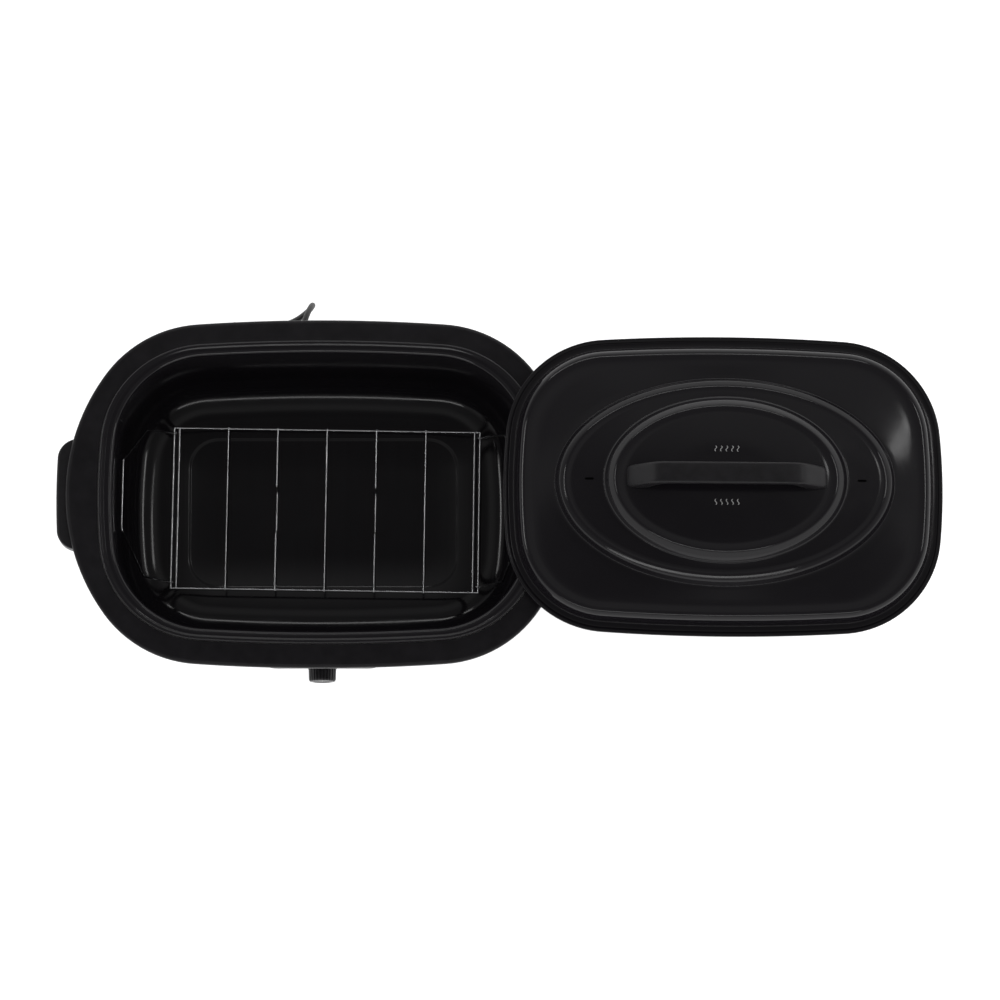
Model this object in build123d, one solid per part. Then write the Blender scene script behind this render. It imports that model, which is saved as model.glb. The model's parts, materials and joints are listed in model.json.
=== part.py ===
from build123d import *
import math
import os

# Electric roaster oven, in millimetres. +X runs to the right along the body, +Y to the back, where
# the cord leaves, and +Z up from the resting plane. The lid is set aside to the right, just above
# the rim, and the pan, rack and bail handles are in place. Every outline has bowed sides and ends
# joined by large corner arcs. The pan's and the lid's are squarer than the body's.
# Sizes below are measured from the middle of the body. The export moves every piece by SHIFT_X,
# so that the origin is under the middle of body and lid together.
SHIFT_X = -207.25

# Rim outline of the body, which the body's and the pan's outlines are measured inward from
RIM_HALF_X = 297.5
RIM_HALF_Y = 205.5
RIM_FORM = (RIM_HALF_X, RIM_HALF_Y, 143.0, 242.0, 2150.0)   # halves, then corner, end and side arcs
PAN_FORM = (RIM_HALF_X, RIM_HALF_Y, 156.0, 727.0, 2270.0)
SHEET = 1.2                      # drawn steel of the shell, the base and the pan

# Body: each level is (height, inset in X, inset in Y) from the rim outline
BASE_BOTTOM = 11.0
SHELL_BOTTOM = BASE_BOTTOM + SHEET
SHELL_LEVELS = [(SHELL_BOTTOM, 22.0, 24.5), (190.0, 6.0, 14.0), (201.8, 2.4, 2.4)]
SHELL_FLANGE_WIDTH = 18.0
RIM_SKIRT_BOTTOM = 196.0
RIM_LEVELS = [(RIM_SKIRT_BOTTOM, 0.6, 0.6), (198.0, 0.0, 0.0), (203.5, 0.0, 0.0), (205.5, 1.2, 1.2),
              (206.8, 4.0, 4.0), (212.5, 38.8, 27.3)]
RIM_SHEET = 2.0
RIM_OPENING = (37.3, 25.8)
RIM_LIP_BOTTOM = 209.3
WELL_LEVELS = [(31.0, 73.5, 60.5), (37.0, 60.5, 48.0), (50.0, 54.0, 41.5), (209.2, 49.5, 36.0)]
WELL_SHEET = 1.0
WELL_FLANGE = (36.8, 25.3)
VENT_SLOT = (46.0, 5.0)

# Heating parts between the well and the shell
HEATER_BOTTOM = 62.0
HEATER_TOP = 92.0
HEATER_THICK = 2.5
HEATER_GAP = 42.0                # break in the band at the front, where its ends are
CLIP_WIDTH = 12.0
CLIP_BOTTOM = 54.0
CLIP_TOP = 100.0
BLANKET_INNER = 5.0              # distances out from the well's wall
BLANKET_OUTER = 12.0
BLANKET_BOTTOM = 40.0
BLANKET_TOP = 192.0

# Feet, posts and screws under the body
FOOT_X = 205.0
FOOT_Y = 122.0
FOOT_TOP_RADIUS = 14.0
FOOT_BOTTOM_RADIUS = 11.5
FOOT_RECESS_RADIUS = 5.5
FOOT_RECESS_TOP = 5.0
POST_X = 150.0
POST_Y = 62.0
POST_RADIUS = 5.0
SCREW_RADIUS = 2.0
SCREW_HEAD_RADIUS = 4.0
SCREW_HEAD = 1.8

# Control panel, thermostat and knob at the front, all on one line along Y
KNOB_Z = 75.0
PANEL_FRONT = -188.0
PANEL_HALF_X = 64.0
PANEL_BOTTOM = 48.0
PANEL_TOP = 104.0
PANEL_CORNER = 12.0
PANEL_SCREW_X = (-46.0, 46.0)
PANEL_SCREW_Z = 56.0
SHAFT_RADIUS = 3.0
SHAFT_HOLE = 4.0
SHAFT_FIT = 0.05                 # radial clearance in the thermostat's bush
KNOB_RADIUS = 17.2
KNOB_BACK = -188.6
KNOB_FRONT = -206.7
KNOB_SKIRT = 3.0
KNOB_RIBS = 26
THERMOSTAT_SIZE = (36.0, 11.5, 30.0)
THERMOSTAT_FRONT = -180.1
BRACKET_SIZE = (58.0, 40.0)
BRACKET_DROP = 4.0
TERMINAL_LOW = (-68.0, 118.0)
TERMINAL_HIGH = (-22.0, 142.0)
TERMINAL_TALL = 13.0
TERMINAL_HOLES = (-57.0, -45.0, -33.0)
TERMINAL_HOLE_RADIUS = 3.0
WIRE_RADIUS = 1.4
WIRE_GAP = 0.3                   # between a lead's end and the part that it runs up to
LAMP_X = 44.0
LAMP_Z = 88.0
LENS_RADIUS = 4.5
LAMP_RADIUS = 3.2

# Side handles: a bar with a finger hollow underneath
HANDLE_OUT = 309.0
HANDLE_HALF_Y = 65.5
HANDLE_BOTTOM = 174.0
HANDLE_TOP = 195.6
HANDLE_BOW = 900.0
HANDLE_CORNER = 22.0
HANDLE_WALL = 4.0
HANDLE_HOLLOW_Y = 46.5
HANDLE_SCREW_Y = 55.5
HANDLE_SCREW_Z = 184.0

# Roasting pan
PAN_FLOOR = 50.0
PAN_WALL_BOTTOM = (95.0, 58.5, 44.5)
PAN_WALL_TOP = (212.5, 54.9, 40.6)
PAN_MOUTH = [(214.2, 53.6, 39.2), (215.0, 51.2, 36.8), (216.0, 48.2, 33.7)]
PAN_FLOOR_RADIUS = 45.0
PAN_FILLET_STEPS = 6
PAN_FLANGE_TOP = 215.0
PAN_BEAD_INNER = (44.0, 31.8)
PAN_BEAD_LEVELS = [(209.6, 40.5, 29.0), (211.2, 39.3, 27.8), (215.2, 39.3, 27.8),
                   (216.5, 40.1, 28.6), (217.0, 41.5, 30.0)]
PAN_PANEL_HALF = (160.0, 89.0)
PAN_PANEL_CORNER = 34.0
PAN_PANEL_DEEP = 1.5

# Wire rack. It lies a little turned and off centre, as a loose rack does.
RACK_Z = 72.0
RACK_HALF_X = 183.5
RACK_INNER_END = 177.0
RACK_HALF_Y = 97.2
RACK_WIRE = 1.3
RACK_CROSS_WIRE = 1.0
RACK_PITCH = 59.2
RACK_CROSS = [-2, -1, 0, 1, 2]
RACK_FOOT_CROSS = [-1, 1]
RACK_FOOT_HALF = 26.0
RACK_FOOT_Z = 49.9
RACK_TURN = -0.9
RACK_SHIFT_X = 3.3

# Bail handles of the rack, each an eye at both ends of a bent wire. Lean is from upright.
BAIL_WIRE = 1.2
BAIL_EYE_GAP = 0.35
BAIL_EYE_Y = 90.0
BAIL_KNEE = (47.0, 88.0, 11.3)   # distance from the pivot, Y, and lean beyond the grip's
BAIL_GRIP = (111.0, 41.0)
BAIL_BEND = 9.0
BAIL_LEAN = {"left": 28.7, "right": 26.0}

# Lid, set aside to the right with its lowest edge just above the pan's bead
LID_X = 468.0
LID_Y = 5.0
LID_Z = 218.0
LID_TURN = -0.5
LID_SHEET = 1.2
LID_FORM = (255.5, 176.5, 120.0, 690.0, 2240.0)
LID_EDGE_LEVELS = [(0.0, 1.2, 1.2), (1.4, 0.0, 0.0), (3.8, 0.0, 0.0), (5.2, 1.6, 1.6)]
LID_EDGE_INNER = (5.0, 5.0)
LID_BAND = (2.4, 3.6)
LID_DOME_LEVELS = [(2.4, 13.0, 13.5), (14.0, 14.6, 15.4), (21.0, 16.2, 17.4), (25.0, 19.0, 20.6),
                   (27.4, 23.5, 25.0), (29.2, 31.0, 32.0), (33.4, 60.0, 55.0)]
LID_OVALS = [(30.0, 197.5, 122.8), (44.0, 192.0, 117.0), (48.4, 184.5, 109.8), (49.4, 178.0, 104.5),
             (50.2, 140.0, 96.2), (58.0, 135.5, 91.8), (64.5, 128.5, 85.5), (67.4, 118.0, 77.0),
             (70.0, 60.0, 40.0)]
SLOT_X = 157.0
SLOT_SIZE = (10.0, 2.2)
SLOT_BAND = (40.0, 60.0)
GRIP_HALF_WIDTH = 13.5
GRIP_OUTER = [(-115.0, 62.0), (-115.5, 72.0), (-87.0, 101.0), (-78.0, 105.0), (78.0, 105.0),
              (87.0, 101.0), (115.5, 72.0), (115.0, 62.0)]
GRIP_INNER = [(84.0, 62.0), (81.0, 74.0), (72.0, 91.0), (-72.0, 91.0), (-81.0, 74.0), (-84.0, 62.0)]
GRIP_SCREW_X = 101.0
GRIP_SCREW_TIP = 82.0

# Power cord. The route is the tube's own, from the strain relief to the hank.
CORD = 7.0
CORD_EXIT_X = -30.0
CORD_EXIT_Z = 80.0
RELIEF_END_Y = 204.0
RELIEF_NECK = 6.0
RELIEF_FIT = 0.1
RELIEF_RADII = (9.5, 9.0, 5.0)   # at the wall, at the collar's end and at the tip
RELIEF_COLLAR = 4.0
RELIEF_NUT = (3.4, 8.0)          # how far inside the wall the nut begins and ends
RELIEF_SEAT = 0.9                # how far the sleeve stands off the sloping wall
CORD_ROUTE = [(-30.0, 204.0, 80.0), (-22.5, 231.0, 80.0), (-15.7, 249.8, 65.5), (-13.1, 257.0, 42.0),
              (-19.7, 253.2, 18.5), (-37.0, 243.2, 4.0), (-60.0, 236.6, 4.5), (-84.0, 236.0, 4.5)]
HANK_CENTRE = (-105.0, 215.0)
HANK_LENGTH = 125.0
HANK_WIDTH = 49.0
HANK_BOTTOM = 1.0
HANK_TOP = 15.0
TAIL_ROUTE = [(-66.0, 194.0, 11.0), (-48.0, 194.5, 9.0), (-30.0, 197.0, 7.5), (-14.0, 200.0, 7.5)]
PLUG_START_X = -14.0
PLUG_Y = 200.0
PLUG_Z = 7.5
PLUG_LENGTH = 40.0
PLUG_BODY = (23.0, 15.0)
PLUG_NECK = 5.0
BLADE = (17.0, 1.6, 6.4)
BLADE_SPACING = 12.7
BLADE_HOLE = (5.0, 1.6)          # distance from the tip, and radius
TIE_WIDTH = 12.0
TIE_THICK = 1.0


def outline(inset_x, inset_y, form=RIM_FORM):
    """A face on the XY plane: an outline brought inward, as eight tangent arcs."""
    half_x = form[0] - inset_x
    half_y = form[1] - inset_y
    shrink = (inset_x + inset_y) / 2
    corner, end, side = form[2] - shrink, form[3] - shrink, form[4]
    side_centre = Vector(0, half_y - side)
    end_centre = Vector(half_x - end, 0)
    # The corner's centre is where circles about the other two centres cross
    line = end_centre - side_centre
    reach, other = side - corner, end - corner
    along = (reach**2 - other**2 + line.length**2) / (2 * line.length)
    across = math.sqrt(reach**2 - along**2)
    unit = line.normalized()
    corner_centre = side_centre + unit * along + Vector(unit.Y, -unit.X) * across
    up = (corner_centre - side_centre).normalized()
    out = (corner_centre - end_centre).normalized()
    on_side = corner_centre + up * corner
    on_end = corner_centre + out * corner
    middle = corner_centre + (up + out).normalized() * corner

    def at(point, sign_x, sign_y):
        return (point.X * sign_x, point.Y * sign_y)

    edges = [
        ThreePointArc(at(on_side, -1, 1), (0, half_y), at(on_side, 1, 1)),
        ThreePointArc(at(on_side, 1, 1), at(middle, 1, 1), at(on_end, 1, 1)),
        ThreePointArc(at(on_end, 1, 1), (half_x, 0), at(on_end, 1, -1)),
        ThreePointArc(at(on_end, 1, -1), at(middle, 1, -1), at(on_side, 1, -1)),
        ThreePointArc(at(on_side, 1, -1), (0, -half_y), at(on_side, -1, -1)),
        ThreePointArc(at(on_side, -1, -1), at(middle, -1, -1), at(on_end, -1, -1)),
        ThreePointArc(at(on_end, -1, -1), (-half_x, 0), at(on_end, -1, 1)),
        ThreePointArc(at(on_end, -1, 1), at(middle, -1, 1), at(on_side, -1, 1)),
    ]
    return Face(Wire(edges))


def stack(levels, grow=0.0, drop=0.0, form=RIM_FORM, last=None):
    """A solid lofted through levels of an outline, grown outward and lowered by a wall."""
    forms = [form] * (len(levels) - 1) + [last or form]
    faces = [Pos(0, 0, z - drop) * outline(x - grow, y - grow, own)
             for (z, x, y), own in zip(levels, forms)]
    return loft(faces, ruled=True)


def prism(inset, bottom, top, form=RIM_FORM):
    """A straight solid with an outline at one inset."""
    return extrude(Pos(0, 0, bottom) * outline(*inset, form), top - bottom, dir=(0, 0, 1))


def block(low, high):
    """A box between two corners."""
    size = [b - a for a, b in zip(low, high)]
    middle = [(a + b) / 2 for a, b in zip(low, high)]
    return Pos(*middle) * Box(*size)


def rod(start, end, radius):
    """A round bar between two points."""
    start, end = Vector(*start), Vector(*end)
    way = end - start
    return extrude(Plane(origin=start, z_dir=way) * Circle(radius), way.length)


def bent_rod(points, radii, radius):
    """A round bar along straight runs joined by tangent arcs."""
    path = FilletPolyline(*points, radius=radii)
    section = Plane(origin=path @ 0, z_dir=path % 0) * Circle(radius)
    return sweep(section, path=path)


def screw(point, way, length, radius=SCREW_RADIUS, head=SCREW_HEAD_RADIUS):
    """A pan-head screw: its head sits before the point and its shank runs from there."""
    place = Plane(origin=point, z_dir=way)
    cap = place * Pos(0, 0, -SCREW_HEAD / 2) * Cylinder(head, SCREW_HEAD)
    slot = place * Pos(0, 0, -SCREW_HEAD) * Box(2 * head, 1.0, SCREW_HEAD)
    shank = place * Pos(0, 0, length / 2) * Cylinder(radius, length)
    return (cap - slot) + shank


def wall_inset(levels, z, axis):
    """How far in a lofted wall stands at a height, along X (1) or Y (2)."""
    for low, high in zip(levels, levels[1:]):
        if low[0] <= z <= high[0]:
            share = (z - low[0]) / (high[0] - low[0])
            return low[axis] + share * (high[axis] - low[axis])
    return levels[-1][axis]


def mirrored(points):
    """The same places in all four quarters."""
    return [(x * a, y * b) for x, y in points for a in (1, -1) for b in (1, -1)]


# Screw places under the base: on the shell's flange, and at the posts
FLANGE_SCREWS = mirrored([(105.0, 169.5), (262.0, 45.0)])
POSTS = mirrored([(POST_X, POST_Y)])
FEET = mirrored([(FOOT_X, FOOT_Y)])


def make_shell_form(inner=False):
    """The filled form of the outer shell, or of the space inside it."""
    if not inner:
        return stack(SHELL_LEVELS)
    top = SHELL_LEVELS[-1]
    levels = SHELL_LEVELS + [(top[0] + SHEET, top[1], top[2])]
    return stack(levels, grow=-SHEET)


def make_outer_shell():
    shell = make_shell_form() - make_shell_form(inner=True)
    low = SHELL_LEVELS[0]
    flange = prism((low[1] + SHEET / 2, low[2] + SHEET / 2), SHELL_BOTTOM, SHELL_BOTTOM + SHEET)
    hole = (low[1] + SHELL_FLANGE_WIDTH, low[2] + SHELL_FLANGE_WIDTH)
    flange -= prism(hole, SHELL_BOTTOM, SHELL_BOTTOM + SHEET)
    shell += flange
    front = -RIM_HALF_Y
    shell -= rod((0, front, KNOB_Z), (0, -RIM_HALF_Y / 2, KNOB_Z), SHAFT_HOLE)
    shell -= rod((LAMP_X, front, LAMP_Z), (LAMP_X, front / 2, LAMP_Z), LAMP_RADIUS)
    for x in PANEL_SCREW_X:
        shell -= rod((x, front, PANEL_SCREW_Z), (x, front / 2, PANEL_SCREW_Z), SCREW_RADIUS)
    relief = (CORD_EXIT_X, RIM_HALF_Y, CORD_EXIT_Z)
    shell -= rod(relief, (CORD_EXIT_X, RIM_HALF_Y / 2, CORD_EXIT_Z), RELIEF_NECK)
    for sign in (1, -1):
        for y in (HANDLE_SCREW_Y, -HANDLE_SCREW_Y):
            far = (sign * RIM_HALF_X, y, HANDLE_SCREW_Z)
            shell -= rod((sign * RIM_HALF_X / 2, y, HANDLE_SCREW_Z), far, SCREW_RADIUS)
    for x, y in FLANGE_SCREWS:
        shell -= rod((x, y, 0), (x, y, 2 * SHELL_BOTTOM), SCREW_RADIUS)
    return shell


def make_top_rim():
    rim = stack(RIM_LEVELS, last=PAN_FORM)
    inside = [RIM_LEVELS[0], RIM_LEVELS[2], RIM_LEVELS[4], RIM_LEVELS[5]]
    rim -= stack(inside, grow=-RIM_SHEET, drop=RIM_SHEET, last=PAN_FORM)
    rim -= prism((RIM_SHEET, RIM_SHEET), RIM_SKIRT_BOTTOM - 1, RIM_SKIRT_BOTTOM + RIM_SHEET)
    lip_outer = (RIM_OPENING[0] - RIM_SHEET, RIM_OPENING[1] - RIM_SHEET)
    lip_top = RIM_LEVELS[-1][0] - RIM_SHEET / 2
    lip = prism(lip_outer, RIM_LIP_BOTTOM, lip_top, PAN_FORM)
    rim += lip & stack(RIM_LEVELS, last=PAN_FORM)
    seat = tuple(inset - 0.3 for inset in WELL_FLANGE)
    rim -= prism(seat, RIM_LIP_BOTTOM - WELL_SHEET - 0.2, RIM_LIP_BOTTOM, PAN_FORM)
    return rim - prism(RIM_OPENING, RIM_SKIRT_BOTTOM, RIM_LEVELS[-1][0] + 1, PAN_FORM)


def make_well_form(grow=0.0):
    """The filled form of the well's outside, grown outward."""
    outside = [(z, x - WELL_SHEET, y - WELL_SHEET) for z, x, y in WELL_LEVELS]
    outside[0] = (WELL_LEVELS[0][0] - WELL_SHEET, outside[0][1], outside[0][2])
    return stack(outside, grow=grow, form=PAN_FORM)


def make_heating_well():
    top = WELL_LEVELS[-1]
    well = make_well_form()
    well += prism(WELL_FLANGE, top[0] - WELL_SHEET, top[0], PAN_FORM)
    well -= stack(WELL_LEVELS, form=PAN_FORM)
    for x, y in POSTS:
        well -= rod((x, y, SHELL_BOTTOM), (x, y, top[0]), SCREW_RADIUS)
    return well


def band(bottom, top, inner, outer):
    """A belt round the well between two heights and two distances from its wall."""
    belt = make_well_form(grow=outer) - make_well_form(grow=inner)
    return belt & block((-RIM_HALF_X, -RIM_HALF_Y, bottom), (RIM_HALF_X, RIM_HALF_Y, top))


def make_band_heater():
    heater = band(HEATER_BOTTOM, HEATER_TOP, 0.0, HEATER_THICK)
    gap = (HEATER_GAP / 2, -RIM_HALF_Y / 2, HEATER_TOP)
    return heater - block((-HEATER_GAP / 2, -RIM_HALF_Y, HEATER_BOTTOM), gap)


def make_heater_clips():
    """Straps that bridge the heater and touch the well above and below it."""
    strap = band(CLIP_BOTTOM, CLIP_TOP, 0.0, HEATER_THICK + SHEET)
    strap -= band(HEATER_BOTTOM, HEATER_TOP, 0.0, HEATER_THICK)
    clips = []
    for x in (-140.0, 140.0):
        for y in (-RIM_HALF_Y, 0.0):
            slab = block((x - CLIP_WIDTH / 2, y, 0), (x + CLIP_WIDTH / 2, y + RIM_HALF_Y, CLIP_TOP))
            clips.append(strap & slab)
    for x in (-RIM_HALF_X, 0.0):
        slab = block((x, -CLIP_WIDTH / 2, 0), (x + RIM_HALF_X, CLIP_WIDTH / 2, CLIP_TOP))
        clips.append(strap & slab)
    return Compound([clip.solids()[0] for clip in clips])


def make_insulation():
    blanket = band(BLANKET_BOTTOM, BLANKET_TOP, BLANKET_INNER, BLANKET_OUTER)
    front = block((-PANEL_HALF_X, -RIM_HALF_Y, 0), (PANEL_HALF_X, 0, PANEL_TOP + 10))
    back = block((CORD_EXIT_X - 30, 0, 0), (CORD_EXIT_X + 30, RIM_HALF_Y, CORD_EXIT_Z + 30))
    return blanket - front - back


def make_base_plate():
    low = SHELL_LEVELS[0]
    plate = prism((low[1] + 1, low[2] + 1), BASE_BOTTOM, SHELL_BOTTOM)
    for x, y in FLANGE_SCREWS + POSTS + FEET:
        plate -= rod((x, y, 0), (x, y, SHELL_BOTTOM + 1), SCREW_RADIUS)
    for x in (-80.0, -20.0, 40.0, 100.0):
        for y in (-105.0, -90.0, -75.0, 75.0, 90.0):
            slot = Pos(x, y, BASE_BOTTOM) * SlotOverall(*VENT_SLOT)
            plate -= extrude(slot, SHEET)
    return plate


def make_base_screws():
    screws = [screw((x, y, BASE_BOTTOM), (0, 0, 1), 7.0) for x, y in FLANGE_SCREWS + POSTS]
    return Compound([s.solid() for s in screws])


def make_spacer_posts():
    top = WELL_LEVELS[0][0] - WELL_SHEET
    posts = []
    for x, y in POSTS:
        post = rod((x, y, SHELL_BOTTOM), (x, y, top), POST_RADIUS)
        post -= rod((x, y, SHELL_BOTTOM), (x, y, BASE_BOTTOM + 7.0), SCREW_RADIUS)
        posts.append(post.solid())
    return Compound(posts)


def make_feet():
    feet = []
    for x, y in FEET:
        pad = loft([Pos(x, y, 0) * Circle(FOOT_BOTTOM_RADIUS),
                    Pos(x, y, BASE_BOTTOM) * Circle(FOOT_TOP_RADIUS)])
        pad -= rod((x, y, 0), (x, y, FOOT_RECESS_TOP), FOOT_RECESS_RADIUS)
        pad -= rod((x, y, 0), (x, y, BASE_BOTTOM), SCREW_RADIUS)
        feet.append(pad.solid())
    return Compound(feet)


def make_foot_screws():
    screws = [screw((x, y, FOOT_RECESS_TOP), (0, 0, 1), 12.0) for x, y in FEET]
    return Compound([s.solid() for s in screws])


def make_side_handle(sign):
    """A handle on one end: its hollow opens downward for the fingers."""
    bar = block((HANDLE_OUT - 60, -HANDLE_HALF_Y, HANDLE_BOTTOM),
                (HANDLE_OUT, HANDLE_HALF_Y, HANDLE_TOP))
    bow = rod((HANDLE_OUT - HANDLE_BOW, 0, HANDLE_BOTTOM), (HANDLE_OUT - HANDLE_BOW, 0, HANDLE_TOP),
              HANDLE_BOW)
    bar &= bow
    outer = bar.edges().filter_by(Axis.Z).group_by(Axis.X)[-1]
    bar = fillet(outer, HANDLE_CORNER)
    bar = fillet(bar.faces().sort_by(Axis.Z)[-1].edges(), 3.0)
    hollow = block((HANDLE_OUT - 60, -HANDLE_HOLLOW_Y, HANDLE_BOTTOM - 1),
                   (HANDLE_OUT - HANDLE_WALL, HANDLE_HOLLOW_Y, HANDLE_TOP - HANDLE_WALL))
    bar -= hollow & Pos(-HANDLE_WALL, 0, -1) * bow
    bar -= make_shell_form()
    for y in (HANDLE_SCREW_Y, -HANDLE_SCREW_Y):
        bar -= rod((HANDLE_OUT / 2, y, HANDLE_SCREW_Z), (HANDLE_OUT - 10, y, HANDLE_SCREW_Z),
                   SCREW_RADIUS)
    return bar if sign > 0 else bar.mirror(Plane.YZ)


def make_side_handle_screws():
    """Screws from inside the shell, with their heads against it."""
    screws = []
    end = RIM_FORM[3] - wall_inset(SHELL_LEVELS, HANDLE_SCREW_Z, 1)
    bow = end - math.sqrt(end**2 - HANDLE_SCREW_Y**2)
    inside = RIM_HALF_X - wall_inset(SHELL_LEVELS, HANDLE_SCREW_Z, 1) - bow - SHEET
    seat = inside - 2.4
    for sign in (1, -1):
        for y in (HANDLE_SCREW_Y, -HANDLE_SCREW_Y):
            shank = HANDLE_OUT - 10 - seat
            screws.append(screw((sign * seat, y, HANDLE_SCREW_Z), (sign, 0, 0), shank))
    return Compound([s.solid() for s in screws])


def make_control_panel():
    middle = (PANEL_BOTTOM + PANEL_TOP) / 2
    face = RectangleRounded(2 * PANEL_HALF_X, PANEL_TOP - PANEL_BOTTOM, PANEL_CORNER)
    plane = Plane(origin=(0, PANEL_FRONT, middle), x_dir=(1, 0, 0), z_dir=(0, -1, 0))
    panel = extrude(plane * face, -20.0)
    panel = chamfer(panel.faces().sort_by(Axis.Y)[0].edges(), 1.0)
    panel -= make_shell_form()
    panel -= rod((0, PANEL_FRONT - 1, KNOB_Z), (0, 0, KNOB_Z), SHAFT_HOLE)
    panel -= rod((LAMP_X, PANEL_FRONT - 1, LAMP_Z), (LAMP_X, 0, LAMP_Z), LENS_RADIUS)
    for x in PANEL_SCREW_X:
        panel -= rod((x, PANEL_FRONT + 2.0, PANEL_SCREW_Z), (x, 0, PANEL_SCREW_Z), SCREW_RADIUS)
    return panel


def make_panel_screws():
    seat = -RIM_HALF_Y + wall_inset(SHELL_LEVELS, PANEL_SCREW_Z, 2) + SHEET + 1.2
    tip = seat - PANEL_FRONT - 2.0
    screws = [screw((x, seat, PANEL_SCREW_Z), (0, -1, 0), tip) for x in PANEL_SCREW_X]
    return Compound([s.solid() for s in screws])


def make_indicator_lens():
    back = -RIM_HALF_Y + wall_inset(SHELL_LEVELS, LAMP_Z, 2) - 1.0
    lens = rod((LAMP_X, PANEL_FRONT - 1.2, LAMP_Z), (LAMP_X, back, LAMP_Z), LENS_RADIUS)
    return fillet(lens.faces().sort_by(Axis.Y)[0].edges(), 1.0)


def make_indicator_lamp():
    front = -RIM_HALF_Y + wall_inset(SHELL_LEVELS, LAMP_Z, 2) - 1.0
    return rod((LAMP_X, front, LAMP_Z), (LAMP_X, front + 14.0, LAMP_Z), LAMP_RADIUS - 0.3)


def make_thermostat_body():
    wide, deep, tall = THERMOSTAT_SIZE
    body = block((-wide / 2, THERMOSTAT_FRONT, KNOB_Z - tall / 2),
                 (wide / 2, THERMOSTAT_FRONT + deep, KNOB_Z + tall / 2))
    body = fillet(body.edges().filter_by(Axis.Y), 3.0)
    return body - rod((0, THERMOSTAT_FRONT, KNOB_Z), (0, THERMOSTAT_FRONT + 10, KNOB_Z),
                      SHAFT_RADIUS + SHAFT_FIT)


def make_thermostat_bracket():
    """A plate wedged between the shell's wall and the thermostat's square back."""
    wide, tall = BRACKET_SIZE
    middle = KNOB_Z - BRACKET_DROP
    plate = block((-wide / 2, -RIM_HALF_Y, middle - tall / 2),
                  (wide / 2, THERMOSTAT_FRONT, middle + tall / 2))
    plate &= make_shell_form(inner=True)
    return plate - rod((0, -RIM_HALF_Y, KNOB_Z), (0, 0, KNOB_Z), SHAFT_HOLE)


def make_thermostat_shaft():
    shaft = rod((0, THERMOSTAT_FRONT + 9, KNOB_Z), (0, KNOB_FRONT + 4, KNOB_Z), SHAFT_RADIUS)
    flat = block((-10, KNOB_FRONT, KNOB_Z + SHAFT_RADIUS - 0.8), (10, KNOB_BACK, KNOB_Z + 10))
    return shaft - flat


def make_control_knob():
    skirt = rod((0, KNOB_BACK, KNOB_Z), (0, KNOB_BACK - KNOB_SKIRT, KNOB_Z), KNOB_RADIUS)
    grip = rod((0, KNOB_BACK - KNOB_SKIRT, KNOB_Z), (0, KNOB_FRONT, KNOB_Z), KNOB_RADIUS - 0.2)
    grip = fillet(grip.faces().sort_by(Axis.Y)[0].edges(), 1.2)
    for i in range(KNOB_RIBS):
        turn = 2 * math.pi * i / KNOB_RIBS
        x, z = KNOB_RADIUS * math.cos(turn), KNOB_RADIUS * math.sin(turn)
        grip -= rod((x, KNOB_BACK - KNOB_SKIRT, KNOB_Z + z), (x, KNOB_FRONT - 1, KNOB_Z + z), 1.1)
    return skirt + grip - make_thermostat_shaft()


def make_terminal_block():
    top = SHELL_BOTTOM + TERMINAL_TALL
    middle = (TERMINAL_LOW[1] + TERMINAL_HIGH[1]) / 2
    body = block((*TERMINAL_LOW, SHELL_BOTTOM), (*TERMINAL_HIGH, top))
    for x in TERMINAL_HOLES:
        body -= rod((x, middle, (SHELL_BOTTOM + top) / 2), (x, middle, top), TERMINAL_HOLE_RADIUS)
    return body


def make_supply_wires():
    """Two leads from the strain relief down to the terminal block, inside the shell."""
    wires = []
    for shift in (-3.0, 3.0):
        x = CORD_EXIT_X + shift
        points = [(x, 180, CORD_EXIT_Z), (x, 173, CORD_EXIT_Z - 4), (x - 6, 170, 50),
                  (x - 10, 165, 24), (x - 12, 143, 18)]
        wires.append(bent_rod(points, [4.0, 14.0, 10.0], WIRE_RADIUS).solid())
    return Compound(wires)


def make_heater_leads():
    """Two leads from the terminal block under the well and up to the thermostat."""
    wires = []
    for x, side in zip(TERMINAL_HOLES, (-9.0, 9.0)):
        points = [(x, 117, 18), (x + 4, 60, 16), (side, -60, 16), (side, -164, 17), (side, -175, 30),
                  (side, -176, KNOB_Z - THERMOSTAT_SIZE[2] / 2 - WIRE_GAP)]
        wires.append(bent_rod(points, [30.0, 30.0, 5.0, 8.0], WIRE_RADIUS).solid())
    return Compound(wires)


def make_strain_relief():
    """A tapered sleeve outside the wall, a neck through it and a nut inside."""
    wall = RIM_HALF_Y - wall_inset(SHELL_LEVELS, CORD_EXIT_Z, 2)
    x, z = CORD_EXIT_X, CORD_EXIT_Z
    seat = wall + RELIEF_SEAT
    face = Plane(origin=(x, seat, z), z_dir=(0, 1, 0))
    reach = RELIEF_END_Y - seat
    rings = [face * Circle(RELIEF_RADII[0]), face.offset(RELIEF_COLLAR) * Circle(RELIEF_RADII[1]),
             face.offset(reach) * Circle(RELIEF_RADII[2])]
    sleeve = loft(rings, ruled=True)
    back = wall - RELIEF_NUT[1]
    sleeve += rod((x, back, z), (x, seat, z), RELIEF_NECK - RELIEF_FIT)
    sleeve += rod((x, back, z), (x, wall - RELIEF_NUT[0], z), RELIEF_RADII[1])
    return sleeve - rod((x, back, z), (x, RELIEF_END_Y, z), CORD / 2)


def corner_radii(points):
    """Arc radii for a cord's corners: 0.45 of the shorter run over the half turn's tangent."""
    spots = [Vector(*p) for p in points]
    runs = [b - a for a, b in zip(spots, spots[1:])]
    radii = []
    for before, after in zip(runs, runs[1:]):
        half = math.radians(before.get_angle(after)) / 2
        radii.append(0.45 * min(before.length, after.length) / math.tan(half))
    return radii


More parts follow.
